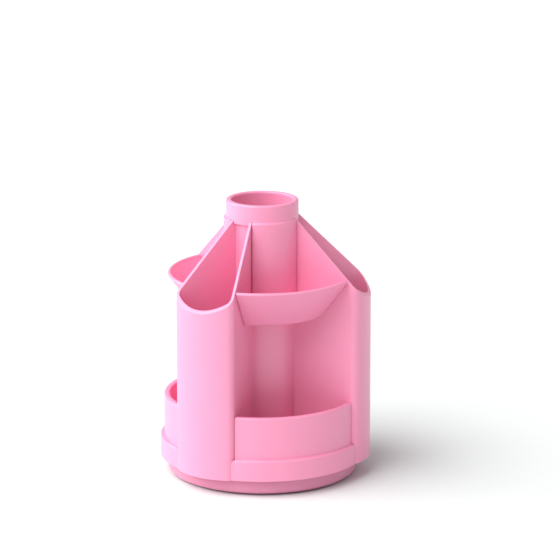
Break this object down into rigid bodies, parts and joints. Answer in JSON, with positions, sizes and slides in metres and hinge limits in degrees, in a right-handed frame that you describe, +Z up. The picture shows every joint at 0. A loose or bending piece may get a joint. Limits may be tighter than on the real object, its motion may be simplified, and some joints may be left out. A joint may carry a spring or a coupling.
{
  "type": "rotating desk organizer",
  "caption": "Rotating desk organizer on a flat foot: tall pen wells around a centre tube, with low bins and scoop trays in the open bays between them.",
  "frame": {"origin": "where the swivel axis meets the table, level with the underside of the rubber pads", "axes": "+Z up along the swivel axis, -Y towards the middle of one open bay at rest, +X to the right of that bay"},
  "size_m": [0.098, 0.1008, 0.1333],
  "materials": {
    "pink_polystyrene": "satin-gloss moulded polystyrene, candy pink",
    "foot_polystyrene": "satin-gloss moulded polystyrene, candy pink",
    "pad_rubber": "matt moulded rubber, dark grey",
    "glide_acetal": "natural white acetal",
    "zinc_steel": "bright zinc plated"
  },
  "bodies": {
    "base": {"base_foot": "foot_polystyrene", "foot_pad_1": "pad_rubber", "foot_pad_2": "pad_rubber", "foot_pad_3": "pad_rubber", "foot_pad_4": "pad_rubber", "glide_ring": "glide_acetal"},
    "carousel": {"bin_dish": "pink_polystyrene", "tower": "pink_polystyrene", "tower_screws": "zinc_steel", "tray_insert": "pink_polystyrene", "pivot_washer": "zinc_steel", "pivot_screw": "zinc_steel"}
  },
  "joints": [
    {"name": "swivel", "type": "hinge", "parent": "base", "child": "carousel", "pos_m": [0, 0, 0.0055], "axis": [0, 0, 1], "continuous": true}
  ]
}
